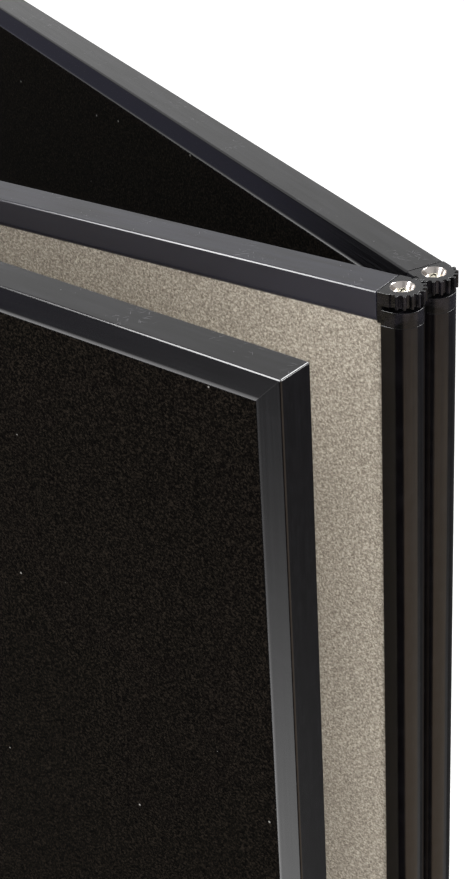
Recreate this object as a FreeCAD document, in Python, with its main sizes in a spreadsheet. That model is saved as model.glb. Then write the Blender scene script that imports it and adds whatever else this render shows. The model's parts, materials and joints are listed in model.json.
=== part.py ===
import FreeCAD, Part
import math
import os
import Sketcher

# Three-panel concertina screen: framed boards with felt on both faces, joined by
# two geared hinges that let neighbouring panels fold either way.
# Row frame: the middle panel stands along X with its grey felt facing -Y, +Z is up,
# and the origin is the middle of its bottom rail's underside.

Vector = FreeCAD.Vector
Rotation = FreeCAD.Rotation
Placement = FreeCAD.Placement

# Driving dimensions in millimetres and degrees
driving = {
    # whole screen
    "ScreenHeight": 1800.0,
    "PanelThickness": 22.0,
    "EndPanelReach": 989.0,
    "MiddleAxisSpan": 983.0,
    "AxisSpacing": 22.4,
    "RearOpening": 27.1,
    "FrontOpening": 4.4,
    # frame extrusion
    "RailWidth": 16.6,
    "RailWall": 1.5,
    "RailWeb": 1.8,
    "OuterRadius": 1.2,
    "LipLength": 4.0,
    "ChamberDepth": 5.2,
    "SlotDepth": 7.6,
    "RailEnd": 8.5,
    # hinge posts and end caps
    "PostEdge": 6.0,
    "PostWall": 1.8,
    "PostSlot": 2.6,
    "PostWeb": 1.5,
    "PortRadius": 3.6,
    "CapEdge": 7.9,
    "GearHeight": 7.2,
    "LinkSlot": 2.2,
    "CollarHeight": 8.3,
    "SlotBack": 5.4,
    "BlockFront": 1.2,
    "SpigotLength": 25.0,
    # gear teeth, the same on every cap
    "ToothCount": 18.0,
    "TipRadius": 12.1,
    "RootRadius": 10.0,
    "PressureAngle": 20.0,
    "Backlash": 0.3,
    "ToothPhase": 5.0,
    "ToothedHalf": 88.0,
    # boards and felt
    "FeltThickness": 1.5,
    "BoardInset": 9.5,
    "BoardHingeEdge": 4.0,
    "BoardPlay": 0.2,
    # hinge screw, cup washer, bush and link plate
    "ScrewRadius": 2.0,
    "ScrewLength": 34.0,
    "HeadRadius": 4.0,
    "HeadHeight": 2.3,
    "HeadDrop": 1.3,
    "DomeRadius": 5.4,
    "CrossWidth": 0.9,
    "CrossSpan": 4.4,
    "CrossDepth": 1.5,
    "CupRimRadius": 5.65,
    "CupBaseRadius": 4.7,
    "CupDepth": 4.2,
    "CupWall": 0.5,
    "CupDrop": 0.15,
    "RecessRim": 0.7,
    "HoleRadius": 2.1,
    "BushRadius": 3.0,
    "LinkHalfWidth": 5.0,
    "LinkThickness": 1.9,
    "RunningGap": 0.08,
    # corner keys
    "KeyReach": 45.0,
    "KeyPlay": 0.2,
}

doc = FreeCAD.newDocument("FoldingScreen")
sheet = doc.addObject("Spreadsheet::Sheet", "Sizes")
for row, (alias, value) in enumerate(driving.items(), start=1):
    sheet.set(f"A{row}", alias)
    sheet.set(f"B{row}", str(value))
    sheet.setAlias(f"B{row}", alias)
doc.recompute()


def size(alias):
    """A driving dimension read back from the sheet."""
    return float(getattr(sheet, alias))


def expr(text):
    """Names the sheet's cells in an expression: every capitalised word is an alias."""
    words = text.replace("(", "( ").replace(")", " )").split()
    return " ".join("Sizes." + w if w[0].isupper() else w for w in words)


def bind(thing, **properties):
    """Binds an object's properties to expressions of driving dimensions."""
    for name, text in properties.items():
        thing.setExpression(name, expr(text))
    return thing


def place(thing, x="0", y="0", z="0"):
    """Binds an object's position to expressions of driving dimensions."""
    for axis, text in (("x", x), ("y", y), ("z", z)):
        thing.setExpression(f"Placement.Base.{axis}", expr(text))
    return thing


def box(length, width, height, x="0", y="0", z="0"):
    solid = doc.addObject("Part::Box", "Block")
    bind(solid, Length=length, Width=width, Height=height)
    return place(solid, x, y, z)


def cylinder(radius, height, x="0", y="0", z="0", angle=360):
    """A full cylinder, or the half on the +X side when the angle is 180."""
    solid = doc.addObject("Part::Cylinder", "Round")
    bind(solid, Radius=radius, Height=height)
    solid.Angle = angle
    if angle == 180:
        solid.Placement.Rotation = Rotation(Vector(0, 0, 1), -90)
    return place(solid, x, y, z)


def cone(low, high, height, z="0"):
    solid = doc.addObject("Part::Cone", "Taper")
    bind(solid, Radius1=low, Radius2=high, Height=height)
    return place(solid, z=z)


def fuse(*pieces):
    joined = doc.addObject("Part::MultiFuse", "Joined")
    joined.Shapes = list(pieces)
    joined.Refine = True
    return joined


def cut(base, tool):
    result = doc.addObject("Part::Cut", "Trimmed")
    result.Base = base
    result.Tool = tool
    return result


subparts = []


def finish(piece, label, placement):
    """Names a finished sub-part and puts it in its place."""
    piece.Label = label
    piece.Placement = placement
    subparts.append(piece)
    return piece


def group(label, pieces):
    """Identical small pieces kept together under one name, each its own solid."""
    together = doc.addObject("Part::Compound", "Group")
    together.Links = pieces
    together.Label = label
    subparts.append(together)


# Frame extrusion: x across the thickness, y inwards from the outer face,
# drawn from the four round corners, the board slot and the closed chamber.
def profileSketch(body):
    half = size("PanelThickness") / 2
    width = size("RailWidth")
    wall = size("RailWall")
    round_ = size("OuterRadius")
    lip = size("LipLength")
    slotTop = width - size("SlotDepth")
    web = size("RailWeb")
    chamber = web + size("ChamberDepth")
    lipRadius = (lip**2 + wall**2) / (2 * wall)
    inner = half - wall

    def cornerArc(centreX, centreY, radius, start, end):
        circle = Part.Circle(Vector(centreX, centreY, 0), Vector(0, 0, 1), radius)
        return Part.ArcOfCircle(circle, start, end)

    def line(x1, y1, x2, y2):
        return Part.LineSegment(Vector(x1, y1, 0), Vector(x2, y2, 0))

    sweep = math.asin(lip / lipRadius)
    straight = width - lip
    outline = [
        line(-half + round_, 0, half - round_, 0),
        cornerArc(half - round_, round_, round_, -math.pi / 2, 0),
        line(half, round_, half, straight),
        cornerArc(half - lipRadius, straight, lipRadius, 0, sweep),
        line(inner, width, inner, slotTop),
        line(inner, slotTop, -inner, slotTop),
        line(-inner, slotTop, -inner, width),
        cornerArc(lipRadius - half, straight, lipRadius, math.pi - sweep, math.pi),
        line(-half, straight, -half, round_),
        cornerArc(round_ - half, round_, round_, math.pi, 1.5 * math.pi),
    ]
    hollow = [
        line(-inner, web, inner, web),
        line(inner, web, inner, chamber),
        line(inner, chamber, -inner, chamber),
        line(-inner, chamber, -inner, web),
    ]
    sketch = newSketch(body, "XY_Plane")
    sketch.addGeometry(outline + hollow, False)

    joinLoop(sketch, range(10), smooth=(0, 1, 2, 7, 8, 9))
    joinLoop(sketch, range(10, 14))
    for level in (0, 5, 10, 12):
        sketch.addConstraint(Sketcher.Constraint("Horizontal", level))
    for upright in (2, 4, 6, 8, 11, 13):
        sketch.addConstraint(Sketcher.Constraint("Vertical", upright))
    sketch.addConstraint(Sketcher.Constraint("PointOnObject", 0, 1, -1))
    dimension(sketch, "X", (9, 1), (-1, 1), "PanelThickness / 2")
    dimension(sketch, "X", (-1, 1), (2, 1), "PanelThickness / 2")
    dimension(sketch, "Y", (0, 2), (2, 1), "OuterRadius")
    dimension(sketch, "Y", (0, 1), (8, 2), "OuterRadius")
    dimension(sketch, "Y", (0, 2), (2, 2), "RailWidth - LipLength")
    dimension(sketch, "Y", (0, 1), (8, 1), "RailWidth - LipLength")
    dimension(sketch, "Y", (0, 1), (4, 1), "RailWidth")
    dimension(sketch, "Y", (0, 1), (6, 2), "RailWidth")
    dimension(sketch, "X", (-1, 1), (4, 1), "PanelThickness / 2 - RailWall")
    dimension(sketch, "X", (6, 2), (-1, 1), "PanelThickness / 2 - RailWall")
    dimension(sketch, "Y", (0, 1), (5, 1), "RailWidth - SlotDepth")
    dimension(sketch, "X", (-1, 1), (10, 2), "PanelThickness / 2 - RailWall")
    dimension(sketch, "X", (10, 1), (-1, 1), "PanelThickness / 2 - RailWall")
    dimension(sketch, "Y", (0, 1), (10, 1), "RailWeb")
    dimension(sketch, "Y", (0, 1), (12, 1), "RailWeb + ChamberDepth")
    return sketch


def newSketch(body, plane):
    sketch = body.newObject("Sketcher::SketchObject", "Profile")
    support = [f for f in body.Origin.OriginFeatures if f.Role == plane][0]
    sketch.AttachmentSupport = [(support, "")]
    sketch.MapMode = "FlatFace"
    return sketch


def joinLoop(sketch, pieces, smooth=()):
    """Joins each piece's end to the next one's start, round a closed outline."""
    order = list(pieces)
    for here, after in zip(order, order[1:] + order[:1]):
        kind = "Tangent" if here in smooth else "Coincident"
        sketch.addConstraint(Sketcher.Constraint(kind, here, 2, after, 1))


def dimension(sketch, direction, first, second, text):
    """A driving distance between two sketch points, bound to the sheet."""
    kind = "Distance" + direction
    gap = measured(sketch, direction, first, second)
    index = sketch.addConstraint(Sketcher.Constraint(kind, *first, *second, gap))
    sketch.setExpression(f"Constraints[{index}]", expr(text))


def measured(sketch, direction, first, second):
    def position(point):
        if point[0] < 0:
            return 0.0
        spot = sketch.getPoint(*point)
        return spot.x if direction == "X" else spot.y

    return position(second) - position(first)


def frameMember(label, lengthText, mitredStart, mitredEnd, placement):
    """One length of the frame extrusion, along its own Z, mitred where asked."""
    body = doc.addObject("PartDesign::Body", "Member")
    pad = body.newObject("PartDesign::Pad", "Length")
    pad.Profile = profileSketch(body)
    bind(pad, Length=lengthText)
    doc.recompute()
    if mitredStart:
        mitre(body, lengthText, 1)
    if mitredEnd:
        mitre(body, lengthText, -1)
    finish(body, label, placement)


def mitre(body, heightText, slope):
    """Cuts one end back at 45 degrees, away from the outer face."""
    before = body.Shape.Volume
    sketch = newSketch(body, "YZ_Plane")
    depth = size("RailWidth") + 1
    level = 0.0 if slope > 0 else body.Shape.BoundBox.ZMax
    corners = [(0, level), (depth, level), (depth, level + slope * depth)]
    points = [Vector(y, z, 0) for y, z in corners]
    for start, end in zip(points, points[1:] + points[:1]):
        sketch.addGeometry(Part.LineSegment(start, end), False)
    joinLoop(sketch, range(3))
    sketch.addConstraint(Sketcher.Constraint("Horizontal", 0))
    sketch.addConstraint(Sketcher.Constraint("Vertical", 1))
    sketch.addConstraint(Sketcher.Constraint("PointOnObject", 0, 1, -2))
    if slope > 0:
        sketch.addConstraint(Sketcher.Constraint("PointOnObject", 0, 2, -1))
    else:
        dimension(sketch, "Y", (-1, 1), (0, 1), heightText)
    dimension(sketch, "X", (0, 1), (0, 2), "RailWidth + 1")
    first, second = ((1, 1), (1, 2)) if slope > 0 else ((1, 2), (1, 1))
    dimension(sketch, "Y", first, second, "RailWidth + 1")
    pocket = body.newObject("PartDesign::Pocket", "Mitre")
    pocket.Profile = sketch
    pocket.SideType = "Symmetric"
    bind(pocket, Length="PanelThickness * 2")
    doc.recompute()
    if body.Shape.Volume >= before:
        raise RuntimeError("a mitre took nothing off " + body.Name)


# Hinge post: a flat-backed half round round the hinge axis, with a slot that takes
# the board's edge and a screw port up its middle.
def hingePost(label, placement):
    length = "ScreenHeight - 2 * ( GearHeight + LinkSlot + CollarHeight )"
    half = "PanelThickness / 2"
    inner = "PanelThickness / 2 - PostWall"
    slotHalf = "PanelThickness / 2 - RailWall"
    outside = fuse(
        box("PostEdge", "PanelThickness", length, "-1 * PostEdge", "-1 * " + half),
        cylinder(half, length, angle=180),
    )
    slot = box(
        "PostSlot", f"2 * ( {slotHalf} )", length, "-1 * PostEdge", f"-1 * ( {slotHalf} )"
    )
    webFace = "PostEdge - PostSlot - PostWeb"
    chamber = fuse(
        box(webFace, f"2 * ( {inner} )", length, f"-1 * ( {webFace} )", f"-1 * ( {inner} )"),
        cylinder(inner, length, angle=180),
    )
    hollow = cut(chamber, cylinder("PortRadius", length))
    shell = cut(cut(outside, slot), hollow)
    post = cut(shell, cylinder("ScrewRadius", length))
    base = Placement(Vector(0, 0, capHeight()), Rotation())
    finish(post, label, placement.multiply(base))


def capHeight():
    return size("GearHeight") + size("LinkSlot") + size("CollarHeight")


# Gear cap: block, teeth over the outer half, link slot, collar and rail spigot.
def toothedOutline():
    """The cap's top face: a block towards the panel and involute teeth round the rest."""
    count = size("ToothCount")
    pitch = size("AxisSpacing") / 2
    tip = size("TipRadius")
    root = size("RootRadius")
    pressure = math.radians(size("PressureAngle"))
    base = pitch * math.cos(pressure)
    blockHalf = size("PanelThickness") / 2
    blockFront = size("BlockFront")

    def involute(radius):
        roll = math.sqrt(max(0.0, (radius / base) ** 2 - 1))
        return roll - math.atan(roll)

    pitchHalf = math.pi / (2 * count) - size("Backlash") / (4 * pitch)

    def flankAngle(radius):
        return pitchHalf + involute(pitch) - involute(radius)

    def polar(radius, angle):
        return Vector(radius * math.cos(angle), radius * math.sin(angle), 0)

    edges = []

    def arc(radius, start, end):
        middle = polar(radius, (start + end) / 2)
        edges.append(Part.Arc(polar(radius, start), middle, polar(radius, end)).toShape())

    def flank(centre, side, radii):
        spots = [polar(r, centre + side * flankAngle(r)) for r in radii]
        edges.append(Part.Arc(*spots).toShape())

    step = 2 * math.pi / count
    phase = math.radians(size("ToothPhase"))
    limit = math.radians(size("ToothedHalf"))
    turns = range(int(-count), int(count))
    centres = [phase + k * step for k in turns if abs(phase + k * step) < limit]
    lastRoot = math.acos(-blockFront / root)
    radii = [base, pitch, tip]
    angle = -lastRoot
    for centre in centres:
        foot = centre - flankAngle(base)
        arc(root, angle, foot)
        edges.append(Part.makeLine(polar(root, foot), polar(base, foot)))
        flank(centre, -1, radii)
        arc(tip, centre - flankAngle(tip), centre + flankAngle(tip))
        flank(centre, 1, radii[::-1])
        angle = centre + flankAngle(base)
        edges.append(Part.makeLine(polar(base, angle), polar(root, angle)))
    arc(root, angle, lastRoot)
    edge = size("CapEdge")
    block = [
        polar(root, lastRoot),
        Vector(-blockFront, blockHalf, 0),
        Vector(-edge, blockHalf, 0),
        Vector(-edge, -blockHalf, 0),
        Vector(-blockFront, -blockHalf, 0),
        polar(root, -lastRoot),
    ]
    for start, end in zip(block, block[1:]):
        edges.append(Part.makeLine(start, end))
    return Part.Face(Part.Wire(edges))


def capShape():
    """A top cap, with the hinge axis on Z and its top face at z = 0."""
    half = size("PanelThickness") / 2
    edge = size("CapEdge")
    total = capHeight()
    toothed = toothedOutline().extrude(Vector(0, 0, -size("GearHeight")))
    backLength = edge - size("SlotBack")
    backHeight = size("RailWidth")
    backCorner = Vector(-edge, -half, -backHeight)
    back = Part.makeBox(backLength, 2 * half, backHeight, backCorner)
    collarHeight = size("CollarHeight")
    collarEdge = size("PostEdge")
    collarCorner = Vector(-collarEdge, -half, -total)
    collarBlock = Part.makeBox(collarEdge, 2 * half, collarHeight, collarCorner)
    foot = Vector(0, 0, -total)
    collarRound = Part.makeCylinder(half, collarHeight, foot, Vector(0, 0, 1), 180)
    collarRound.rotate(foot, Vector(0, 0, 1), -90)
    play = size("KeyPlay")
    spigotHalf = half - size("RailWall") - play
    spigotTop = -size("RailWeb") - play
    spigotDepth = size("ChamberDepth") - 2 * play
    spigotLength = size("SpigotLength")
    corner = Vector(-edge - spigotLength, -spigotHalf, spigotTop - spigotDepth)
    spigot = Part.makeBox(spigotLength, 2 * spigotHalf, spigotDepth, corner)
    solid = toothed.fuse([back, collarBlock, collarRound, spigot]).removeSplitter()
    rim = size("CupRimRadius")
    base = size("CupBaseRadius")
    depth = size("CupDepth") + size("CupDrop")
    recess = Part.makeCone(base, rim + size("RecessRim"), depth, Vector(0, 0, -depth))
    bore = Part.makeCylinder(size("HoleRadius"), total, Vector(0, 0, -total))
    solid = solid.cut([recess, bore])
    return solid


def gearCap(label, placement):
    cap = doc.addObject("Part::Feature", "GearCap")
    cap.Shape = capShape()
    finish(cap, label, placement)


# Hinge fasteners, drawn for a top cap with z = 0 at its top face.
def cupWasher(placement):
    depth = "CupDepth"
    bottom = "-1 * ( CupDepth + CupDrop )"
    cup = cone("CupBaseRadius", "CupRimRadius", depth, bottom)
    inside = cone(
        "CupBaseRadius - CupWall", "CupRimRadius - CupWall", depth, bottom + " + CupWall"
    )
    washer = cut(cut(cup, inside), cylinder("HoleRadius", depth, z=bottom))
    washer.Placement = placement
    return washer


def hingeScrew(placement):
    """Round head with a cross recess, on a plain shank that fills its thread."""
    under = "-1 * ( HeadDrop + HeadHeight )"
    blank = cylinder("HeadRadius", "HeadHeight", z=under)
    dome = doc.addObject("Part::Sphere", "Dome")
    bind(dome, Radius="DomeRadius")
    place(dome, z="-1 * HeadDrop - DomeRadius")
    head = doc.addObject("Part::Common", "Head")
    head.Base = blank
    head.Tool = dome
    slots = []
    for length, width in (("CrossSpan", "CrossWidth"), ("CrossWidth", "CrossSpan")):
        corner = (f"-0.5 * {length}", f"-0.5 * {width}", "-1 * ( HeadDrop + CrossDepth )")
        slots.append(box(length, width, "CrossDepth", *corner))
    shank = cylinder("ScrewRadius", "ScrewLength", z=f"{under} - ScrewLength")
    screw = cut(fuse(head, shank), fuse(*slots))
    screw.Placement = placement
    return screw


def pivotBush(placement):
    """Spacer sleeve in the link slot, which the link plate turns on."""
    base = "-1 * ( GearHeight + LinkSlot )"
    sleeve = cylinder("BushRadius", "LinkSlot", z=base)
    bush = cut(sleeve, cylinder("HoleRadius", "LinkSlot", z=base))
    bush.Placement = placement
    return bush


def linkPlate(label, placement):
    """Flat plate that keeps two neighbouring hinge axes at their spacing."""
    width = "LinkHalfWidth"
    thick = "LinkThickness"
    hole = "BushRadius + RunningGap"
    blank = fuse(
        box("AxisSpacing", f"2 * {width}", thick, "0", f"-1 * {width}"),
        cylinder(width, thick),
        cylinder(width, thick, x="AxisSpacing"),
    )
    holes = fuse(cylinder(hole, thick), cylinder(hole, thick, x="AxisSpacing"))
    finish(cut(blank, holes), label, placement)


# Boards and felt: sheets in the XZ plane, notched in two steps where the end caps sit.
def notchedSheet(label, thickness, y, hingeEnds, placement):
    """hingeEnds is 2 on the middle panel and 1 on an end panel, whose x runs to its axis."""
    height = "ScreenHeight - 2 * BoardInset"
    span = "MiddleAxisSpan" if hingeEnds == 2 else "EndPanelReach"
    farInset = "BoardHingeEdge" if hingeEnds == 2 else "BoardInset"
    blank = box(
        f"{span} - BoardHingeEdge - {farInset}",
        thickness,
        height,
        f"-1 * {span} + {farInset}",
        y,
        "BoardInset",
    )
    notches = []
    steps = (
        ("CapEdge", "RailWidth"),
        ("PostEdge", "GearHeight + LinkSlot + CollarHeight"),
    )
    for edge, depth in steps:
        deep = f"{depth} + BoardPlay - BoardInset"
        wide = f"{edge} + BoardPlay - BoardHingeEdge"
        starts = [f"-1 * {edge} - BoardPlay"]
        if hingeEnds == 2:
            starts.append(f"-1 * {span} + BoardHingeEdge")
        for x in starts:
            for z in ("BoardInset", f"ScreenHeight - BoardInset - ( {deep} )"):
                notches.append(box(wide, thickness, deep, x, y, z))
    finish(cut(blank, fuse(*notches)), label, placement)


def panelFilling(panel, blackSide, hingeEnds, placement):
    """Core board with black felt on one face and grey felt on the other."""
    core = "PanelThickness - 2 * RailWall - 2 * FeltThickness"
    notchedSheet(panel + "_core_board", core, f"-0.5 * ( {core} )", hingeEnds, placement)
    for colour, side in (("black", blackSide), ("grey", -blackSide)):
        low = f"0.5 * ( {core} )" if side > 0 else f"-0.5 * ( {core} ) - FeltThickness"
        label = f"{panel}_{colour}_felt"
        notchedSheet(label, "FeltThickness", low, hingeEnds, placement)


def cornerKey(label, placement):
    """L-shaped key in the chambers of a mitred corner, its corner at the origin."""
    inset = "RailWeb + KeyPlay"
    depth = "ChamberDepth - 2 * KeyPlay"
    width = "PanelThickness - 2 * RailWall - 2 * KeyPlay"
    low = f"-0.5 * ( {width} )"
    key = fuse(
        box("KeyReach", width, depth, inset, low, inset),
        box(depth, width, "KeyReach", inset, low, inset),
    )
    finish(key, label, placement)


def topEnd():
    """Where a top cap's own frame sits on a hinge axis."""
    return Placement(Vector(0, 0, size("ScreenHeight")), Rotation())


def bottomEnd():
    """The same cap turned over about the panel's length."""
    return Placement(Vector(0, 0, 0), Rotation(Vector(1, 0, 0), 180))


def hingeEnd(prefix, placement):
    """A post with a gear cap at each end. Returns its washers, screws and bushes."""
    hingePost(prefix + "_post", placement)
    small = []
    for name, end in (("top", topEnd()), ("bottom", bottomEnd())):
        spot = placement.multiply(end)
        gearCap(f"{prefix}_{name}_gear_cap", spot)
        small.append((cupWasher(spot), hingeScrew(spot), pivotBush(spot)))
    return small


def groupFasteners(panel, small):
    washers, screws, bushes = zip(*small)
    group(panel + "_cup_washers", list(washers))
    group(panel + "_hinge_screws", list(screws))
    group(panel + "_pivot_bushes", list(bushes))


def rails(panel, startX, lengthText, mitred, placement):
    """Top and bottom rails, running from the hinge end towards -X."""
    topTurn = Rotation(Vector(0, 1, 0), Vector(0, 0, -1), Vector(-1, 0, 0), "XYZ")
    bottomTurn = Rotation(Vector(0, -1, 0), Vector(0, 0, 1), Vector(-1, 0, 0), "XYZ")
    top = Placement(Vector(startX, 0, size("ScreenHeight")), topTurn)
    bottom = Placement(Vector(startX, 0, 0), bottomTurn)
    for name, local in (("top", top), ("bottom", bottom)):
        label = f"{panel}_{name}_rail"
        frameMember(label, lengthText, False, mitred, placement.multiply(local))


def endPanel(panel, blackSide, placement):
    """A panel with one hinge end at its own origin and a free edge at -EndPanelReach."""
    reach = size("EndPanelReach")
    height = size("ScreenHeight")
    rails(panel, -size("RailEnd"), "EndPanelReach - RailEnd", True, placement)
    upright = Rotation(Vector(0, -1, 0), Vector(1, 0, 0), Vector(0, 0, 1), "XYZ")
    stile = placement.multiply(Placement(Vector(-reach, 0, 0), upright))
    frameMember(panel + "_free_stile", "ScreenHeight", True, True, stile)
    panelFilling(panel, blackSide, 1, placement)
    low = Placement(Vector(-reach, 0, 0), Rotation())
    high = Placement(Vector(-reach, 0, height), Rotation(Vector(1, 0, 0), 180))
    cornerKey(panel + "_bottom_corner_key", placement.multiply(low))
    cornerKey(panel + "_top_corner_key", placement.multiply(high))
    groupFasteners(panel, hingeEnd(panel + "_hinge", placement))


def middlePanel():
    half = size("MiddleAxisSpan") / 2
    here = Placement()
    right = Placement(Vector(half, 0, 0), Rotation())
    left = Placement(Vector(-half, 0, 0), Rotation(Vector(0, 0, 1), 180))
    length = "MiddleAxisSpan - 2 * RailEnd"
    rails("middle", half - size("RailEnd"), length, False, here)
    panelFilling("middle", 1, 2, right)
    small = hingeEnd("middle_right", right) + hingeEnd("middle_left", left)
    groupFasteners("middle", small)


def turned(degrees):
    return Rotation(Vector(0, 0, 1), degrees)


def linkPlates(hinge, axis, direction):
    """Top and bottom link plates, from one hinge axis towards its neighbour."""
    play = (size("LinkSlot") - size("LinkThickness")) / 2
    low = size("GearHeight") + play
    high = size("ScreenHeight") - size("GearHeight") - size("LinkSlot") + play
    for name, level in (("top", high), ("bottom", low)):
        spot = Placement(axis + Vector(0, 0, level), turned(direction))
        linkPlate(f"{hinge}_{name}_link_plate", spot)


# The link splits the opening evenly between its two gears, so it stands square to
# the bisector of the panels on either side.
half = size("MiddleAxisSpan") / 2
spacing = size("AxisSpacing")
rearAxis = Vector(half, 0, 0)
rearTurn = 90 - size("RearOpening") / 2
rearCentre = rearAxis + turned(rearTurn).multVec(Vector(spacing, 0, 0))
frontAxis = Vector(-half, 0, 0)
frontTurn = -90 - size("FrontOpening") / 2
frontCentre = frontAxis + turned(frontTurn).multVec(Vector(spacing, 0, 0))

middlePanel()
endPanel("rear", -1, Placement(rearCentre, turned(-size("RearOpening"))))
endPanel("front", 1, Placement(frontCentre, turned(180 - size("FrontOpening"))))
linkPlates("rear", rearAxis, rearTurn)
linkPlates("front", frontAxis, frontTurn)
doc.recompute()

for thing in doc.Objects:
    if "Invalid" in thing.State or "Error" in thing.State:
        raise RuntimeError(f"{thing.Label} failed: {thing.State}")
for piece in subparts:
    if piece.Shape.isNull() or not piece.Shape.isValid():
        raise RuntimeError(f"{piece.Label} has no valid shape")

os.makedirs("parts", exist_ok=True)
for piece in subparts:
    piece.Shape.exportStep(f"parts/{piece.Label}.step")
print(len(subparts), "sub-parts written")
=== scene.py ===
import json
import math

import bpy
from mathutils import Matrix, Vector

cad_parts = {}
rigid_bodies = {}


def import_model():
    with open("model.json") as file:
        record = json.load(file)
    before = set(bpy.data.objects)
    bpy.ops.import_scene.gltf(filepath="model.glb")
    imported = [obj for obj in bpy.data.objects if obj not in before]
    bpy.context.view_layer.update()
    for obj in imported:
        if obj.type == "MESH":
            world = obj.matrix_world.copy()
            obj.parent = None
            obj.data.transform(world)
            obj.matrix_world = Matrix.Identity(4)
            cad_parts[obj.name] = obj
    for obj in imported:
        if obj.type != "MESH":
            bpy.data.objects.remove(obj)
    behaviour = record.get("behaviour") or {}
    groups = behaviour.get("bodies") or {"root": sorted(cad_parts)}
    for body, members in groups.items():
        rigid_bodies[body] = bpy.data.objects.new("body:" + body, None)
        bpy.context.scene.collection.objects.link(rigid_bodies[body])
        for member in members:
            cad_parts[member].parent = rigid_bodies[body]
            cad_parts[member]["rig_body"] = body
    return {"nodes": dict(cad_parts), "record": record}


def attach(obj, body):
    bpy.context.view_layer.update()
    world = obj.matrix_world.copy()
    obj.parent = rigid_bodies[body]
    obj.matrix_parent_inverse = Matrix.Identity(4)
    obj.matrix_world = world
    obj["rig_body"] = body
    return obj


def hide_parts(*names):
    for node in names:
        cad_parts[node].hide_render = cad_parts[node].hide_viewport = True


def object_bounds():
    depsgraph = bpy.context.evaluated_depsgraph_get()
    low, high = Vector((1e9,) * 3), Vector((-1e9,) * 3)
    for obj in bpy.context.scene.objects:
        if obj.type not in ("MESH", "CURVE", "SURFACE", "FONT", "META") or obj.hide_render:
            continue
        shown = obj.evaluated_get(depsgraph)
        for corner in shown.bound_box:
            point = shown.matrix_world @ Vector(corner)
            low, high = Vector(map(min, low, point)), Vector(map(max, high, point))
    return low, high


# Three-panel folding screen: felt-faced boards in black anodised frames, with geared hinges.
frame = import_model()
cadLow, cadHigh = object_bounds()
joints = {joint["name"]: joint for joint in frame["record"]["behaviour"]["joints"]}
screenHeight = cadHigh.z
mm = 0.001
scene = bpy.context.scene
print("frame loaded:", len(frame["nodes"]), "nodes")


# Hinge axes and panel directions, all worked out from the joints
def hingeAxis(joint):
    x, y, _ = joints[joint]["pos_m"]
    return Vector((x, y, 0))


def neighbourTurn(ownTurn, ownAxis, otherAxis):
    link = otherAxis - ownAxis
    return 2 * math.atan2(link.y, link.x) - math.pi - ownTurn


rightAxis = hingeAxis("rear_link_hinge")
leftAxis = hingeAxis("front_link_hinge")
rearAxis = hingeAxis("rear_panel_hinge")
frontAxis = hingeAxis("front_panel_hinge")
rearTurn = neighbourTurn(0, rightAxis, rearAxis)
frontTurn = neighbourTurn(math.pi, leftAxis, frontAxis)


def stand(axis, turn):
    return Matrix.Translation(axis) @ Matrix.Rotation(turn, 4, "Z")


# each hinge end: the body it rides on, and the place of its axis, with the panel towards -X
hingeEnds = {
    "middle_right": ("middle_panel", stand(rightAxis, 0)),
    "middle_left": ("middle_panel", stand(leftAxis, math.pi)),
    "rear_hinge": ("rear_panel", stand(rearAxis, rearTurn)),
    "front_hinge": ("front_panel", stand(frontAxis, frontTurn)),
}
panels = {
    "middle": ("middle_panel", stand(rightAxis, 0), 0),
    "rear": ("rear_panel", stand(rearAxis, rearTurn), rearTurn),
    "front": ("front_panel", stand(frontAxis, frontTurn), frontTurn),
}

# Camera, in front of the rear hinge and looking down on its top
cameraView = {
    "offset": (0.4097, -0.6996, 0.3886),  # metres from the top of the right hinge axis
    "turn": 36.51,  # degrees left of +Y
    "dip": 30.18,
    "roll": -3.34,
    "lens": 75.3,
}


def placeCamera():
    data = bpy.data.cameras.new("camera")
    data.lens = cameraView["lens"]
    data.clip_start = 0.05
    camera = bpy.data.objects.new("camera", data)
    scene.collection.objects.link(camera)
    hingeTop = rightAxis + Vector((0, 0, screenHeight))
    turn = Matrix.Rotation(math.radians(cameraView["turn"]), 4, "Z")
    dip = Matrix.Rotation(math.radians(90 - cameraView["dip"]), 4, "X")
    roll = Matrix.Rotation(math.radians(cameraView["roll"]), 4, "Z")
    place = Matrix.Translation(hingeTop + Vector(cameraView["offset"]))
    camera.matrix_world = place @ turn @ dip @ roll
    scene.camera = camera


placeCamera()


# Colours are sRGB hex, turned to the linear values that the shaders take
def linear(hexColour):
    parts = [int(hexColour[i : i + 2], 16) / 255 for i in (1, 3, 5)]
    return [p / 12.92 if p <= 0.04045 else ((p + 0.055) / 1.055) ** 2.4 for p in parts] + [1]


def grey(level):
    return [level, level, level, 1]


# Adds one node: its settings, its input values or links, and the stops of a colour ramp
def addNode(tree, kind, inputs=None, stops=None, **settings):
    node = tree.nodes.new(kind)
    for name, value in settings.items():
        setattr(node, name, value)
    for name, value in (inputs or {}).items():
        if isinstance(value, bpy.types.NodeSocket):
            tree.links.new(value, node.inputs[name])
        else:
            node.inputs[name].default_value = value
    if stops:
        ramp = node.color_ramp.elements
        while len(ramp) < len(stops):
            ramp.new(1)
        for element, (position, colour) in zip(ramp, stops):
            element.position = position
            element.color = colour
    return node


def newMaterial(name, colour, sockets):
    material = bpy.data.materials.new(name)
    material.use_nodes = True
    tree = material.node_tree
    shader = tree.nodes["Principled BSDF"]
    shader.inputs["Base Color"].default_value = linear(colour)
    for socket, value in sockets.items():
        shader.inputs[socket].default_value = value
    return material, tree, shader


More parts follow.
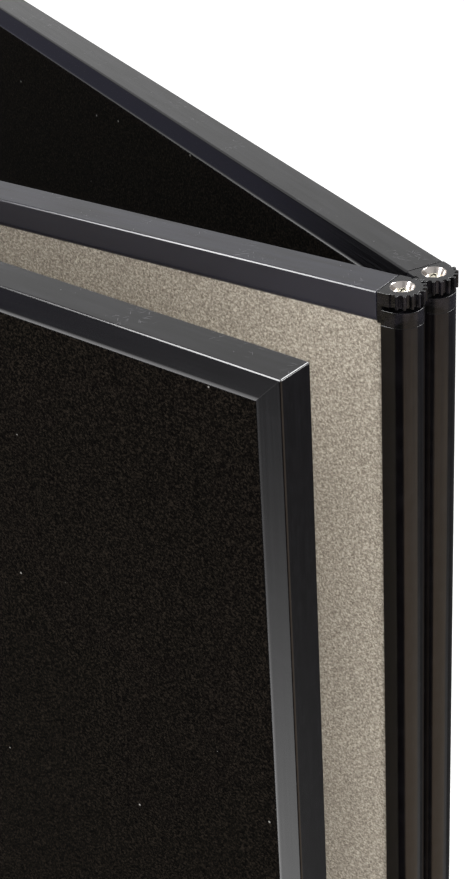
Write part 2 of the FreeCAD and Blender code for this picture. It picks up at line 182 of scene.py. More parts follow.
# Studio: plain pale floor, soft boxes, and the surroundings that the gloss mirrors
studio = {
    "floorColour": "#f4f3f1",
    "floorGlow": 0.6,  # keeps the floor near white where the screen shades it
    "floorSize": 30.0,
    # brightness by height, from straight down (0) to straight up (1)
    "rising": (
        (0.0, grey(1.8)),
        (0.17, grey(1.6)),
        (0.21, grey(0.8)),
        (0.235, grey(0.4)),
        (0.26, grey(0.3)),
        (0.29, [0.13, 0.13, 0.18, 1]),
        (0.35, [0.13, 0.13, 0.18, 1]),
        (0.5, grey(0.3)),
        (0.6, grey(0.75)),
        (0.67, grey(0.79)),
        (0.712, grey(0.84)),
        (0.735, grey(0.62)),
        (0.8, grey(0.6)),
        (1.0, grey(0.7)),
    ),
    # low walls round the screen, which its posts mirror: directions in degrees from +X
    "darkWallStart": -104,
    "warmWallStart": -59,
    "warmWallEnd": 22,
    "dimStart": 45,
    "dimEnd": 135,
    "darkWall": [0.01, 0.008, 0.006, 1],
    "warmWall": ([0.75, 0.58, 0.43, 1], [0.7, 0.58, 0.46, 1]),
    "dimWall": grey(0.08),
    "wallCover": 0.75,  # of the wall between the warm and the dim one
    "wallTop": (-0.42, -0.45),  # sine of the angle down at which they begin and are full
    # a dark figure in front of the screen: its sides in degrees, its top and its shade
    "figure": (-84, -57),
    "figureTop": (0.5, 0.4),
    "figureShade": grey(0.02),
    # name: azimuth, elevation, roll, distance, width, height, radiance, light rays it leaves out
    "softBoxes": {
        "keyBox": (224, 38, 34, 1.9, 0.55, 1.9, 18.0, "visible_diffuse"),
        "fillBox": (290, 44, 0, 3.2, 1.6, 1.6, 5.2, "visible_glossy"),
        "backBox": (58, 42, 0, 2.6, 1.5, 1.3, 24.0, "visible_diffuse"),
        "rearBox": (62, 42, 0, 2.6, 1.5, 1.3, 7.0, "visible_glossy"),
        "sideBox": (326, -5, 0, 3.0, 2.0, 2.0, 4.6, "visible_glossy"),
    },
}


def makeWorld():
    world = bpy.data.worlds.new("studio")
    scene.world = world
    world.use_nodes = True
    tree = world.node_tree
    direction = addNode(tree, "ShaderNodeTexCoord").outputs["Generated"]
    parts = addNode(tree, "ShaderNodeSeparateXYZ", {0: direction})
    rise = addNode(
        tree, "ShaderNodeMapRange", {"Value": parts.outputs["Z"], "From Min": -1, "From Max": 1}
    )
    # dim room with a bright floor close by, and a light wall above the horizon
    rising = addNode(
        tree, "ShaderNodeValToRGB", {"Fac": rise.outputs["Result"]}, stops=studio["rising"]
    )
    azimuth = addNode(
        tree,
        "ShaderNodeMath",
        {0: parts.outputs["Y"], 1: parts.outputs["X"]},
        operation="ARCTAN2",
    )
    share = addNode(
        tree,
        "ShaderNodeMapRange",
        {"Value": azimuth.outputs[0], "From Min": -math.pi, "From Max": math.pi},
    )

    def at(degrees):
        return (degrees + 180) / 360

    dark, warm, warmEnd = (studio[key] for key in ("darkWallStart", "warmWallStart", "warmWallEnd"))
    dim, dimEnd = studio["dimStart"], studio["dimEnd"]
    warmNear, warmFar = studio["warmWall"]
    sectors = addNode(
        tree,
        "ShaderNodeValToRGB",
        {"Fac": share.outputs["Result"]},
        stops=[
            (0.0, grey(0)),
            (at(dark - 2), grey(0)),
            (at(dark), studio["darkWall"]),
            (at(warm - 1), studio["darkWall"]),
            (at(warm + 1), warmNear),
            (at(warmEnd), warmFar),
            (at(warmEnd + 2), studio["dimWall"]),
            (1.0, studio["dimWall"]),
        ],
    )
    cover = addNode(
        tree,
        "ShaderNodeValToRGB",
        {"Fac": share.outputs["Result"]},
        stops=[
            (0.0, grey(0)),
            (at(dark - 2), grey(0)),
            (at(dark), grey(1)),
            (at(warmEnd - 1), grey(1)),
            (at(warmEnd + 1), grey(studio["wallCover"])),
            (at(dim - 3), grey(studio["wallCover"])),
            (at(dim + 3), grey(1)),
            (at(dimEnd - 3), grey(1)),
            (at(dimEnd + 3), grey(0)),
            (1.0, grey(0)),
        ],
    )
    wallStart, wallFull = studio["wallTop"]
    below = addNode(
        tree,
        "ShaderNodeMapRange",
        {"Value": parts.outputs["Z"], "From Min": wallStart, "From Max": wallFull},
    )
    cover = addNode(
        tree,
        "ShaderNodeMath",
        {0: cover.outputs["Color"], 1: below.outputs["Result"]},
        operation="MULTIPLY",
    )
    room = addNode(
        tree,
        "ShaderNodeMix",
        {0: cover.outputs[0], 6: rising.outputs["Color"], 7: sectors.outputs["Color"]},
        data_type="RGBA",
    )
    # the figure shows as a dark spot in each bright cup
    figureStart, figureEnd = studio["figure"]
    clear, full = studio["figureTop"]
    figure = addNode(
        tree,
        "ShaderNodeValToRGB",
        {"Fac": share.outputs["Result"]},
        stops=[
            (0.0, grey(0)),
            (at(figureStart - 2), grey(0)),
            (at(figureStart), grey(1)),
            (at(figureEnd), grey(1)),
            (at(figureEnd + 2), grey(0)),
            (1.0, grey(0)),
        ],
    )
    standing = addNode(
        tree,
        "ShaderNodeMapRange",
        {"Value": parts.outputs["Z"], "From Min": clear, "From Max": full},
    )
    figure = addNode(
        tree,
        "ShaderNodeMath",
        {0: figure.outputs["Color"], 1: standing.outputs["Result"]},
        operation="MULTIPLY",
    )
    room = addNode(
        tree,
        "ShaderNodeMix",
        {0: figure.outputs[0], 6: room.outputs[2], 7: studio["figureShade"]},
        data_type="RGBA",
    )
    # plain white behind the screen
    seen = addNode(tree, "ShaderNodeLightPath")
    shown = addNode(
        tree,
        "ShaderNodeMix",
        {0: seen.outputs["Is Camera Ray"], 6: room.outputs[2], 7: grey(1)},
        data_type="RGBA",
    )
    tree.links.new(shown.outputs[2], tree.nodes["Background"].inputs["Color"])


def softBox(name, azimuth, elevation, roll, distance, width, height, radiance, leavesOut):
    data = bpy.data.lights.new(name, "AREA")
    data.shape = "RECTANGLE"
    data.size = width
    data.size_y = height
    data.energy = radiance * math.pi * width * height
    lamp = bpy.data.objects.new(name, data)
    scene.collection.objects.link(lamp)
    turn, tilt = math.radians(azimuth), math.radians(elevation)
    out = Vector(
        (math.cos(turn) * math.cos(tilt), math.sin(turn) * math.cos(tilt), math.sin(tilt))
    )
    lamp.location = rightAxis + Vector((0, 0, screenHeight)) + out * distance
    aim = out.to_track_quat("Z", "Y").to_matrix() @ Matrix.Rotation(math.radians(roll), 3, "Z")
    lamp.rotation_euler = aim.to_euler()
    lamp.visible_camera = False
    setattr(lamp, leavesOut, False)


def makeFloor():
    bpy.ops.mesh.primitive_plane_add(size=studio["floorSize"], location=(0, 0, cadLow.z))
    floor = bpy.context.object
    floor.name = "floor"
    material, _, shader = newMaterial(
        "paleFloor", studio["floorColour"], {"Roughness": 0.9, "Specular IOR Level": 0.1}
    )
    shader.inputs["Emission Color"].default_value = grey(1)
    shader.inputs["Emission Strength"].default_value = studio["floorGlow"]
    floor.data.materials.append(material)
    floor.visible_glossy = False


scene.view_settings.view_transform = "Standard"
makeWorld()
for name, settings in studio["softBoxes"].items():
    softBox(name, *settings)
makeFloor()
print("studio ready")


# Materials
def coordinatesOf(tree, cell, turn=0.0):
    # object coordinates counted in cells of this size, along and across a turned member
    place = addNode(tree, "ShaderNodeTexCoord").outputs["Object"]
    mapping = addNode(
        tree,
        "ShaderNodeMapping",
        {"Vector": place, "Rotation": (0, 0, turn), "Scale": cell},
        vector_type="TEXTURE",
    )
    return mapping.outputs["Vector"]


# most of a noise's values lie between these, so a finish's range is spread over them
noiseSpread = {"From Min": 0.3, "From Max": 0.7}

anodised = {
    "ground": "#040304",
    "haze": "#1d1c1f",
    "scuff": "#77757a",
    "roughness": (0.13, 0.25),
    "ior": 1.55,
    "streak": (70 * mm, 0.9 * mm),  # a die line's length and width, coarser than real to show
    "streakDepth": 0.01 * mm,
    "hazePatch": (45 * mm, 4 * mm, 9 * mm),
    "hazeRange": (0.42, 0.72),  # noise level where the haze starts and where it is full
    "hazeOnSides": 0.15,  # of what the top face has
    "hazeFace": 0.6,  # upward share of the normal where a face starts to count as a top
    "scratchCell": (17 * mm, 0.8 * mm, 7 * mm),
    "scratchSize": 0.13,  # of a cell
    "scratchSlants": (-0.9, 0.12, 0.5, 1.1),
    "scratchPatch": 30 * mm,
    "scratchRange": (0.52, 0.64),
    "markedFace": 0.7,
    "speckCell": 7 * mm,
    "speckSize": 0.05,
}


# Black anodised aluminium, drawn through a die: a dyed oxide skin that reflects like glaze over
# near black, with faint lengthwise die lines, hazy rubbed patches, fine scratches and dust.
# the ground colour passed in can carry a painted reflection, as on the middle rails
def anodisedAluminium(name, turn=0.0, upright=False, groundAndPaintedReflection=anodised["ground"]):
    material, tree, shader = newMaterial(name, groundAndPaintedReflection, {"IOR": anodised["ior"]})
    length, width = anodised["streak"]
    cell = (width, width, length) if upright else (length, width, width)
    streaks = addNode(
        tree,
        "ShaderNodeTexNoise",
        {"Vector": coordinatesOf(tree, cell, turn), "Scale": 1.0, "Detail": 2.0},
    )
    patch = anodised["hazePatch"]
    patches = addNode(
        tree,
        "ShaderNodeTexNoise",
        {"Vector": coordinatesOf(tree, patch, turn), "Scale": 1.0, "Detail": 5.0},
    )
    upward = addNode(
        tree,
        "ShaderNodeSeparateXYZ",
        {0: addNode(tree, "ShaderNodeTexCoord").outputs["Normal"]},
    )
    topFace = addNode(
        tree,
        "ShaderNodeMapRange",
        {
            "Value": upward.outputs["Z"],
            "From Min": anodised["hazeFace"],
            "From Max": 1.0,
            "To Min": anodised["hazeOnSides"],
        },
    )
    start, full = anodised["hazeRange"]
    haze = addNode(
        tree,
        "ShaderNodeMapRange",
        {"Value": patches.outputs["Fac"], "From Min": start, "From Max": full},
    )
    haze = addNode(
        tree,
        "ShaderNodeMath",
        {0: haze.outputs["Result"], 1: topFace.outputs["Result"]},
        operation="MULTIPLY",
    )
    # scratches: short thin strokes in a few directions, gathered where the patches allow
    scratch = 0.0
    for slant in anodised["scratchSlants"]:
        dashes = addNode(
            tree,
            "ShaderNodeTexVoronoi",
            {"Vector": coordinatesOf(tree, anodised["scratchCell"], turn + slant), "Scale": 1.0},
        )
        dash = addNode(
            tree,
            "ShaderNodeMapRange",
            {
                "Value": dashes.outputs["Distance"],
                "From Min": anodised["scratchSize"],
                "From Max": anodised["scratchSize"] * 0.5,
            },
        )
        scratch = addNode(
            tree, "ShaderNodeMath", {0: dash.outputs["Result"], 1: scratch}, operation="MAXIMUM"
        ).outputs[0]
    cell = anodised["scratchPatch"]
    gather = addNode(
        tree,
        "ShaderNodeTexNoise",
        {"Vector": coordinatesOf(tree, (cell,) * 3, turn), "Scale": 1.0, "Detail": 1.0},
    )
    start, full = anodised["scratchRange"]
    gaps = addNode(
        tree,
        "ShaderNodeMapRange",
        {"Value": gather.outputs["Fac"], "From Min": start, "From Max": full},
    )
    scratch = addNode(
        tree, "ShaderNodeMath", {0: scratch, 1: gaps.outputs["Result"]}, operation="MULTIPLY"
    )
    # dust: a speck where the surface passes close to the middle of a cell
    cell = anodised["speckCell"]
    dots = addNode(
        tree,
        "ShaderNodeTexVoronoi",
        {"Vector": coordinatesOf(tree, (cell,) * 3, turn), "Scale": 1.0},
    )
    dust = addNode(
        tree,
        "ShaderNodeMapRange",
        {
            "Value": dots.outputs["Distance"],
            "From Min": anodised["speckSize"],
            "From Max": anodised["speckSize"] * 0.6,
        },
    )
    marks = addNode(
        tree,
        "ShaderNodeMath",
        {0: scratch.outputs[0], 1: dust.outputs["Result"]},
        operation="MAXIMUM",
    )
    # marks collect on upward faces only
    upFace = addNode(
        tree,
        "ShaderNodeMapRange",
        {"Value": upward.outputs["Z"], "From Min": anodised["markedFace"], "From Max": 1.0},
    )
    marks = addNode(
        tree,
        "ShaderNodeMath",
        {0: marks.outputs[0], 1: upFace.outputs["Result"]},
        operation="MULTIPLY",
    )
    ground = addNode(
        tree,
        "ShaderNodeMix",
        {0: haze.outputs[0], 6: linear(groundAndPaintedReflection), 7: linear(anodised["haze"])},
        data_type="RGBA",
    )
    colour = addNode(
        tree,
        "ShaderNodeMix",
        {0: marks.outputs[0], 6: ground.outputs[2], 7: linear(anodised["scuff"])},
        data_type="RGBA",
    )
    smooth, rough = anodised["roughness"]
    roughness = addNode(
        tree,
        "ShaderNodeMapRange",
        {"Value": streaks.outputs["Fac"], **noiseSpread, "To Min": smooth, "To Max": rough},
    )
    bump = addNode(
        tree,
        "ShaderNodeBump",
        {
            "Height": streaks.outputs["Fac"],
            "Strength": 0.25,
            "Distance": anodised["streakDepth"],
        },
    )
    tree.links.new(colour.outputs[2], shader.inputs["Base Color"])
    tree.links.new(roughness.outputs["Result"], shader.inputs["Roughness"])
    tree.links.new(bump.outputs["Normal"], shader.inputs["Normal"])
    return material


nylon = {
    "ground": "#050505",
    "worn": "#18161a",
    "roughness": (0.16, 0.34),
    "ior": 1.53,
    "grain": 0.8 * mm,
    "grainDepth": 0.03 * mm,
    "wear": 6 * mm,
    "wearRange": (0.4, 0.7),
}


# Glass-filled black nylon, injection moulded: glossy with a slightly uneven, greyed skin.
def mouldedNylon():
    material, tree, shader = newMaterial("mouldedNylon", nylon["ground"], {"IOR": nylon["ior"]})
    grain = addNode(
        tree,
        "ShaderNodeTexNoise",
        {"Vector": coordinatesOf(tree, (nylon["grain"],) * 3), "Scale": 1.0, "Detail": 3.0},
    )
    wear = addNode(
        tree,
        "ShaderNodeTexNoise",
        {"Vector": coordinatesOf(tree, (nylon["wear"],) * 3), "Scale": 1.0, "Detail": 4.0},
    )
    start, full = nylon["wearRange"]
    worn = addNode(
        tree,
        "ShaderNodeMapRange",
        {"Value": wear.outputs["Fac"], "From Min": start, "From Max": full},
    )
    colour = addNode(
        tree,
        "ShaderNodeMix",
        {0: worn.outputs["Result"], 6: linear(nylon["ground"]), 7: linear(nylon["worn"])},
        data_type="RGBA",
    )
    smooth, rough = nylon["roughness"]
    roughness = addNode(
        tree,
        "ShaderNodeMapRange",
        {"Value": grain.outputs["Fac"], **noiseSpread, "To Min": smooth, "To Max": rough},
    )
    bump = addNode(
        tree,
        "ShaderNodeBump",
        {"Height": grain.outputs["Fac"], "Strength": 0.3, "Distance": nylon["grainDepth"]},
    )
    tree.links.new(colour.outputs[2], shader.inputs["Base Color"])
    tree.links.new(roughness.outputs["Result"], shader.inputs["Roughness"])
    tree.links.new(bump.outputs["Normal"], shader.inputs["Normal"])
    return material


# Loop-pile felt: matt, with every fibre clump catching the light a little differently.
# A clump is drawn coarser than the real fibres, so that the speckle shows.
felts = {
    "black": {
        "name": "blackLoopFelt",
        "dark": "#030202",
        "mean": "#0b0907",
        "light": "#241f1a",
        "clump": 1.3 * mm,
        "gloss": 0.02,
        "sheen": 0.0,
        "lint": True,
    },
    "grey": {
        "name": "greyLoopFelt",
        "dark": "#756d61",
        "mean": "#9e9588",
        "light": "#cec6b7",
        "clump": 1.3 * mm,
        "gloss": 0.15,
        "sheen": 0.1,
        "lint": False,
    },
}
feltPile = {
    "stops": (0.34, 0.5, 0.66),  # noise levels of the dark, mean and light fibres
    "depth": 0.5 * mm,
    "brushedPatch": 60 * mm,
    "brushedRange": (0.95, 1.05),
    "lintColour": "#8d8a86",
    "lintCell": 24 * mm,
    "lintSize": (0.034, 0.02),  # of a cell: where a bit of lint ends, and where it is solid
}


def loopFelt(spec):
    material, tree, shader = newMaterial(
        spec["name"],
        spec["mean"],
        {
            "Roughness": 0.95,
            "Specular IOR Level": spec["gloss"],
            "Sheen Weight": spec["sheen"],
            "Sheen Roughness": 0.5,
        },
    )
    clump = spec["clump"]
    fibres = addNode(
        tree,
        "ShaderNodeTexNoise",
        {
            "Vector": coordinatesOf(tree, (clump,) * 3),
            "Scale": 1.0,
            "Detail": 3.0,
            "Roughness": 0.65,
            "Distortion": 0.6,
        },
    )
    colour = addNode(
        tree,
        "ShaderNodeValToRGB",
        {"Fac": fibres.outputs["Fac"]},
        stops=[
            (stop, linear(spec[tone]))
            for stop, tone in zip(feltPile["stops"], ("dark", "mean", "light"))
        ],
    )
    # pile brushed a little lighter and darker in hand-sized patches
    patch = feltPile["brushedPatch"]
    brushed = addNode(
        tree,
        "ShaderNodeTexNoise",
        {"Vector": coordinatesOf(tree, (patch,) * 3), "Scale": 1.0, "Detail": 3.0},
    )
    darker, lighter = feltPile["brushedRange"]
    shade = addNode(
        tree,
        "ShaderNodeMapRange",
        {
            "Value": brushed.outputs["Fac"],
            "From Min": 0.25,
            "From Max": 0.75,
            "To Min": darker,
            "To Max": lighter,
        },
    )
    shaded = addNode(
        tree,
        "ShaderNodeVectorMath",
        {0: colour.outputs["Color"], "Scale": shade.outputs["Result"]},
        operation="SCALE",
    )
    result = shaded.outputs["Vector"]
    if spec["lint"]:
        cell = feltPile["lintCell"]
        dots = addNode(
            tree,
            "ShaderNodeTexVoronoi",
            {"Vector": coordinatesOf(tree, (cell,) * 3), "Scale": 1.0},
        )
        edge, solid = feltPile["lintSize"]
        lint = addNode(
            tree,
            "ShaderNodeMapRange",
            {"Value": dots.outputs["Distance"], "From Min": edge, "From Max": solid},
        )
        speckled = addNode(
            tree,
            "ShaderNodeMix",
            {0: lint.outputs["Result"], 6: result, 7: linear(feltPile["lintColour"])},
            data_type="RGBA",
        )
        result = speckled.outputs[2]
    bump = addNode(
        tree,
        "ShaderNodeBump",
        {"Height": fibres.outputs["Fac"], "Strength": 0.6, "Distance": feltPile["depth"]},
    )
    tree.links.new(result, shader.inputs["Base Color"])
    tree.links.new(bump.outputs["Normal"], shader.inputs["Normal"])
    return material


# Plain engineering finishes: colour, metallic, roughness low and high, grain size, bump depth.
finishes = {
    # electroplated nickel on a pressed washer: warm mirror with faint draw marks
    "brightNickel": ("#c6bfba", 1.0, 0.14, 0.24, 1.2 * mm, 0.01 * mm),
    # zinc plate on a headed screw: pale, slightly frosted
    "zincPlate": ("#e9e3cf", 1.0, 0.3, 0.46, 0.5 * mm, 0.02 * mm),
    # the same screw inside its cross: painted shade standing in for the recess's shadow, dull and
    # dark
    "paintedShadeCross": ("#2b2a20", 0.2, 0.6, 0.8, 0.4 * mm, 0.02 * mm),
    # turned acetal: waxy white
    "turnedAcetal": ("#e2e0d8", 0.0, 0.3, 0.45, 1.5 * mm, 0.01 * mm),
    # die-cast zinc: dull grey with a pebbled skin
    "castZinc": ("#8d9094", 1.0, 0.45, 0.7, 0.7 * mm, 0.05 * mm),
    # pressed steel, phosphated black: nearly matt
    "blackSteel": ("#161617", 0.3, 0.4, 0.6, 0.9 * mm, 0.02 * mm),
    # kraft-faced honeycomb board: brown paper with visible fibre
    "kraftBoard": ("#a98e69", 0.0, 0.8, 0.95, 2.0 * mm, 0.1 * mm),
}
darkTone = 0.82  # a plain finish's darkest tone against its own colour


def plainFinish(name):
    colour, metallic, smooth, rough, grain, depth = finishes[name]
    material, tree, shader = newMaterial(name, colour, {"Metallic": metallic})
    noise = addNode(
        tree,
        "ShaderNodeTexNoise",
        {"Vector": coordinatesOf(tree, (grain,) * 3), "Scale": 1.0, "Detail": 4.0},
    )
    roughness = addNode(
        tree,
        "ShaderNodeMapRange",
        {"Value": noise.outputs["Fac"], **noiseSpread, "To Min": smooth, "To Max": rough},
    )
    dark = [channel * darkTone for channel in linear(colour)[:3]] + [1]
    tint = addNode(
        tree,
        "ShaderNodeMix",
        {0: noise.outputs["Fac"], 6: dark, 7: linear(colour)},
        data_type="RGBA",
    )
    bump = addNode(
        tree,
        "ShaderNodeBump",
        {"Height": noise.outputs["Fac"], "Strength": 0.4, "Distance": depth},
    )
    tree.links.new(tint.outputs[2], shader.inputs["Base Color"])
    tree.links.new(roughness.outputs["Result"], shader.inputs["Roughness"])
    tree.links.new(bump.outputs["Normal"], shader.inputs["Normal"])
    return material


uprightAluminium = anodisedAluminium("anodisedUpright", upright=True)
# ground colour of each panel's rails: on the middle panel a painted reflection, a pale blue-grey
# standing in for the lit felt its rails mirror; on the front panel a trace lighter than the ground
railPaintedReflection = {"middle": "#2c2c34", "rear": anodised["ground"], "front": "#060506"}
railAluminium = {
    panel: anodisedAluminium(f"anodised{panel.capitalize()}Rail", turn, groundAndPaintedReflection=railPaintedReflection[panel])
    for panel, (_, _, turn) in panels.items()
}
nylonMaterial = mouldedNylon()
feltMaterial = {colour: loopFelt(spec) for colour, spec in felts.items()}
plain = {name: plainFinish(name) for name in finishes}
print("materials ready")


# Modelling helpers
def deselectAll():
    for thing in bpy.context.selected_objects:
        thing.select_set(False)


def only(piece):
    deselectAll()
    piece.select_set(True)
    bpy.context.view_layer.objects.active = piece


def applyModifier(piece, kind, **settings):
    modifier = piece.modifiers.new(kind.capitalize(), kind)
    for name, value in settings.items():
        setattr(modifier, name, value)
    only(piece)
    bpy.ops.object.modifier_apply(modifier=modifier.name)


# Sharp edges are broken, so that joints show a fine line: angles in degrees
edgeBreak = {
    "width": 0.2 * mm,
    "angle": 32,
    "segments": 3,
    "smoothAngle": 35,
    "mergeWithin": 0.001 * mm,
    "flatWithin": 0.2,
}


def finishPiece(piece, material, body, nodes):
    only(piece)
    bpy.ops.object.shade_smooth_by_angle(angle=math.radians(edgeBreak["smoothAngle"]))
    applyModifier(piece, "WEIGHTED_NORMAL", weight=100, keep_sharp=True)
    piece.data.materials.clear()
    piece.data.materials.append(material)
    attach(piece, body)
    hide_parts(*nodes)


def localPoints(node, place):
    back = place.inverted()
    return [back @ vertex.co for vertex in frame["nodes"][node].data.vertices]


# A worked copy of a CAD member, its triangles merged into flat faces and its sharp edges broken
def brokenEdges(node, material, width=edgeBreak["width"], freeEnd=None):
    source = frame["nodes"][node]
    piece = bpy.data.objects.new(node + "_finished", source.data.copy())
    scene.collection.objects.link(piece)
    only(piece)
    bpy.ops.object.mode_set(mode="EDIT")
    bpy.ops.mesh.select_all(action="SELECT")
    bpy.ops.mesh.customdata_custom_splitnormals_clear()
    bpy.ops.mesh.remove_doubles(threshold=edgeBreak["mergeWithin"])
    bpy.ops.mesh.dissolve_limited(angle_limit=math.radians(edgeBreak["flatWithin"]))
    bpy.ops.mesh.select_all(action="DESELECT")
    bpy.ops.object.mode_set(mode="OBJECT")
    if freeEnd:
        flattenCorners(piece, freeEnd)
    applyModifier(
        piece,
        "BEVEL",
        width=width,
        segments=edgeBreak["segments"],
        limit_method="ANGLE",
        angle_limit=math.radians(edgeBreak["angle"]),
        use_clamp_overlap=False,
    )
    finishPiece(piece, material, source["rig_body"], [node])
    return piece


# The mitred outer corners of a free end are knocked flat, which catches the light
cornerFlat = 0.8 * mm


def flattenCorners(piece, panel):
    _, place, _ = panels[panel]
    end = min(point.x for point in localPoints(f"{panel}_free_stile", place))
    turn = place.to_3x3()
    bpy.ops.object.mode_set(mode="EDIT")
    for height, rise in ((0, -1), (screenHeight, 1)):
        bpy.ops.mesh.select_all(action="SELECT")
        bpy.ops.mesh.bisect(
            plane_co=place @ Vector((end + cornerFlat, 0, height)),
            plane_no=turn @ Vector((-1, 0, rise)).normalized(),
            use_fill=True,
            clear_outer=True,
        )
    bpy.ops.mesh.select_all(action="DESELECT")
    bpy.ops.object.mode_set(mode="OBJECT")


members = []
for panel in panels:
    members += [(f"{panel}_{end}_rail", railAluminium[panel]) for end in ("top", "bottom")]
members += [(f"{panel}_free_stile", uprightAluminium) for panel in ("rear", "front")]
members += [(f"{end}_post", uprightAluminium) for end in hingeEnds]
for node, material in members:
    panel = node.split("_")[0]
    freeEnd = None if panel == "middle" or node.endswith("post") else panel
    brokenEdges(node, material, freeEnd=freeEnd)
for end in hingeEnds:
    for level in ("top", "bottom"):
        brokenEdges(f"{end}_{level}_gear_cap", nylonMaterial)
print("frame members and gear caps ready")


# Cup washers: pressed rings with a rolled rim, a steep wall and a floor that holds the screw.
# Each ring of the section is a radius and a height over the cap's outer face, in mm.
cup = {
    "section": (
        (2.2, -4.3),
        (4.45, -4.3),
        (6.0, -0.28),
        (6.24, -0.2),
        (6.3, -0.08),
        (6.22, 0.03),
        (6.08, 0.04),
        (5.85, -0.12),
        (4.12, -3.82),
        (3.95, -3.95),
        (2.2, -3.95),
        (2.2, -4.3),
    ),
    "segments": 64,
    "mergeWithin": 0.01 * mm,
}


# A ring drawn out step by step until it meets itself again
def turnedCup(name):
    radius, height = cup["section"][0]
    deselectAll()
    bpy.ops.mesh.primitive_circle_add(
        vertices=cup["segments"], radius=radius * mm, location=(0, 0, height * mm)
    )
    piece = bpy.context.object
    piece.name = name
    bpy.ops.object.transform_apply(location=True)
    bpy.ops.object.mode_set(mode="EDIT")
    bpy.ops.mesh.select_mode(type="EDGE")
    bpy.ops.mesh.select_all(action="SELECT")
    for nextRadius, nextHeight in cup["section"][1:]:
        bpy.ops.mesh.extrude_region_move(
            TRANSFORM_OT_translate={"value": (0, 0, (nextHeight - height) * mm)}
        )
        ratio = nextRadius / radius
        bpy.ops.transform.resize(value=(ratio, ratio, 1), center_override=(0, 0, 0))
        radius, height = nextRadius, nextHeight
    bpy.ops.mesh.select_all(action="SELECT")
    bpy.ops.mesh.remove_doubles(threshold=cup["mergeWithin"])
    bpy.ops.mesh.normals_make_consistent(inside=False)
    bpy.ops.object.mode_set(mode="OBJECT")
    return piece


# the places of a hinge end's top and bottom caps, with +Z out of the cap
def endPlaces(hingeEnd):
    place = hingeEnds[hingeEnd][1]
    top = place @ Matrix.Translation((0, 0, screenHeight))
    bottom = place @ Matrix.Rotation(math.pi, 4, "X")
    return top, bottom


panelEnds = {
    "middle": ("middle_right", "middle_left"),
    "rear": ("rear_hinge",),
    "front": ("front_hinge",),
}


def copiedTo(pattern, name, places):
    deselectAll()
    for place in places:
        copy = bpy.data.objects.new(name, pattern.data.copy())
        scene.collection.objects.link(copy)
        copy.data.transform(place)
        copy.select_set(True)
        bpy.context.view_layer.objects.active = copy
    if len(places) > 1:
        bpy.ops.object.join()
    piece = bpy.context.view_layer.objects.active
    piece.name = name
    return piece


cupPattern = turnedCup("cup_pattern")
for panel, ends in panelEnds.items():
    body = panels[panel][0]
    places = [place for end in ends for place in endPlaces(end)]
    piece = copiedTo(cupPattern, f"{panel}_cups_pressed", places)
    finishPiece(piece, plain["brightNickel"], body, [f"{panel}_cup_washers"])
bpy.data.objects.remove(cupPattern)
print("cup washers ready")

# Hinge screws: domed heads, with painted shade in the cross
screw = {
    "edgeBreak": 0.08 * mm,
    "crossReach": 2.5 * mm,
    "crossFloor": 2.9 * mm,
    "headDrop": 1.3 * mm,
    "dome": 5.4 * mm,
    "crossDepth": 0.12 * mm,  # a face this far inside the dome belongs to the cross
}


def inCross(centre, panel):
    for end in panelEnds[panel]:
        for place in endPlaces(end):
            point = place.inverted() @ centre
            fromDome = Vector((point.x, point.y, point.z + screw["headDrop"] + screw["dome"]))
            reach = math.hypot(point.x, point.y)
            if reach < screw["crossReach"] and point.z > -screw["crossFloor"]:
                return fromDome.length < screw["dome"] - screw["crossDepth"]
    return False


for panel in panels:
    node = f"{panel}_hinge_screws"
    piece = brokenEdges(node, plain["zincPlate"], screw["edgeBreak"])
    # the faces inside each cross take the painted shade
    piece.data.materials.append(plain["paintedShadeCross"])
    for face in piece.data.polygons:
        if inCross(face.center, panel):
            face.material_index = 1
print("hinge screws ready")


# Felt: a flat sheet cut round the hinge caps and bonded to the board, its pile a little uneven
felt = {
    "acrossCells": 82,
    "upCells": 148,
    "unevenness": 0.25 * mm,
    "patch": 45 * mm,
    "flatMargin": 9 * mm,  # the edge that stays flat where it meets the frame
    "endMargin": 1 * mm,  # inner corners lie further than this from the top and bottom
    "sameWithin": 0.05 * mm,
    "frontWithin": 0.1 * mm,
}


def distinct(values):
    found = []
    for value in sorted(values):
        if not found or value - found[-1] > felt["sameWithin"]:
            found.append(value)
    return found


def notchCorners(points, xs, zs):
    # every inner corner of the outline, with the outline's own corner that it is cut back to
    low, high = zs[0], zs[-1]
    found = set()
    for p in points:
        inside = low + felt["endMargin"] <= p.z <= high - felt["endMargin"]
        if p.x in (xs[0], xs[-1]) or not inside:
            continue
        sideX = 1 if p.x > (xs[0] + xs[-1]) / 2 else -1
        sideZ = 1 if p.z > (low + high) / 2 else -1
        found.add((round(p.x, 5), round(p.z, 5), sideX, sideZ))
    return found


def inNotch(centre, corners):
    return any(
        (centre.x - x) * sideX > 0 and (centre.z - z) * sideZ > 0
        for x, z, sideX, sideZ in corners
    )


def awayFromEdge(point, xs, zs):
    margin = felt["flatMargin"]
    insideX = xs[0] + margin < point.x < xs[-1] - margin
    return insideX and zs[0] + margin < point.z < zs[-1] - margin


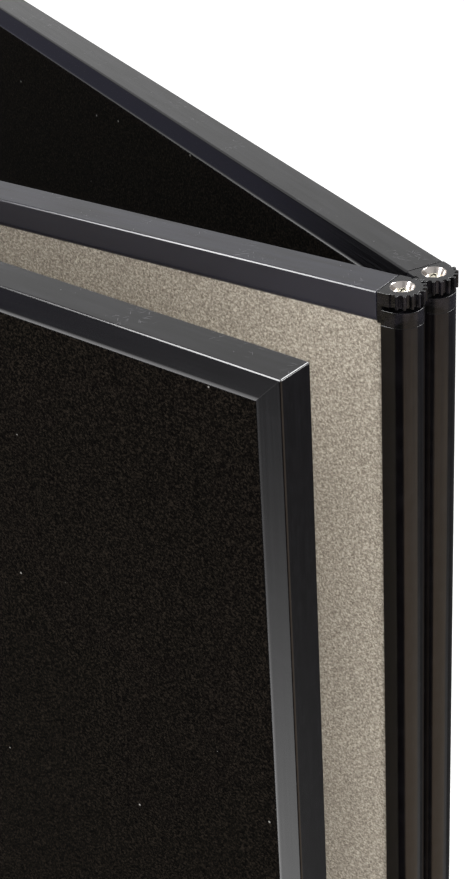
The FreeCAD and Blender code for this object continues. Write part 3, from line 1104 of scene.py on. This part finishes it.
def feltSheet(panel, colour):
    body, place, _ = panels[panel]
    node = f"{panel}_{colour}_felt"
    points = localPoints(node, place)
    xs = distinct(p.x for p in points)
    ys = distinct(p.y for p in points)
    zs = distinct(p.z for p in points)
    width, height, thickness = xs[-1] - xs[0], zs[-1] - zs[0], ys[-1] - ys[0]
    facing = 1 if ys[0] > 0 else -1
    outside = ys[-1] if facing > 0 else ys[0]
    deselectAll()
    bpy.ops.mesh.primitive_grid_add(
        x_subdivisions=felt["acrossCells"], y_subdivisions=felt["upCells"], size=1
    )
    sheet = bpy.context.object
    sheet.name = f"{panel}_{colour}_felt_sheet"
    bpy.ops.object.mode_set(mode="EDIT")
    bpy.ops.transform.resize(value=(width, height, 1), center_override=(0, 0, 0))
    bpy.ops.object.mode_set(mode="OBJECT")
    # stood up in the panel's own frame, with its front turned outwards
    centre = Vector(((xs[0] + xs[-1]) / 2, outside, (zs[0] + zs[-1]) / 2))
    upright = Matrix.Rotation(math.radians(90), 4, "X")
    if facing > 0:
        upright = Matrix.Rotation(math.pi, 4, "Z") @ upright
    sheet.data.transform(Matrix.Translation(centre) @ upright)
    # cut along the notch lines, then take the notches out
    only(sheet)
    bpy.ops.object.mode_set(mode="EDIT")
    for values, normal in ((xs[1:-1], Vector((1, 0, 0))), (zs[1:-1], Vector((0, 0, 1)))):
        for value in values:
            bpy.ops.mesh.select_all(action="SELECT")
            bpy.ops.mesh.bisect(plane_co=normal * value, plane_no=normal)
    bpy.ops.mesh.select_all(action="DESELECT")
    bpy.ops.object.mode_set(mode="OBJECT")
    corners = notchCorners(points, xs, zs)
    for face in sheet.data.polygons:
        face.select = inNotch(face.center, corners)
    bpy.ops.object.mode_set(mode="EDIT")
    bpy.ops.mesh.delete(type="FACE")
    bpy.ops.object.mode_set(mode="OBJECT")
    applyModifier(sheet, "SOLIDIFY", thickness=thickness, offset=-1.0)
    group = sheet.vertex_groups.new(name="pile")
    inner = [
        vertex.index
        for vertex in sheet.data.vertices
        if abs(vertex.co.y - outside) < felt["frontWithin"] and awayFromEdge(vertex.co, xs, zs)
    ]
    group.add(inner, 1.0, "REPLACE")
    texture = bpy.data.textures.new(f"{panel}{colour}Pile", "CLOUDS")
    texture.noise_scale = felt["patch"]
    applyModifier(
        sheet,
        "DISPLACE",
        texture=texture,
        texture_coords="LOCAL",
        strength=felt["unevenness"],
        mid_level=1.0,
        vertex_group="pile",
    )
    sheet.data.transform(place)
    finishPiece(sheet, feltMaterial[colour], body, [node])


for panel in panels:
    for colour in ("black", "grey"):
        feltSheet(panel, colour)
print("felt ready")

# Carried-over parts that only need their finish
carriedOver = {
    "core_board": "kraftBoard",
    "corner_key": "castZinc",
    "link_plate": "blackSteel",
    "pivot_bushes": "turnedAcetal",
}
for node, thing in frame["nodes"].items():
    for ending, finish in carriedOver.items():
        if node.endswith(ending):
            for materialSlot in thing.material_slots:
                materialSlot.material = plain[finish]
print("finishes ready")
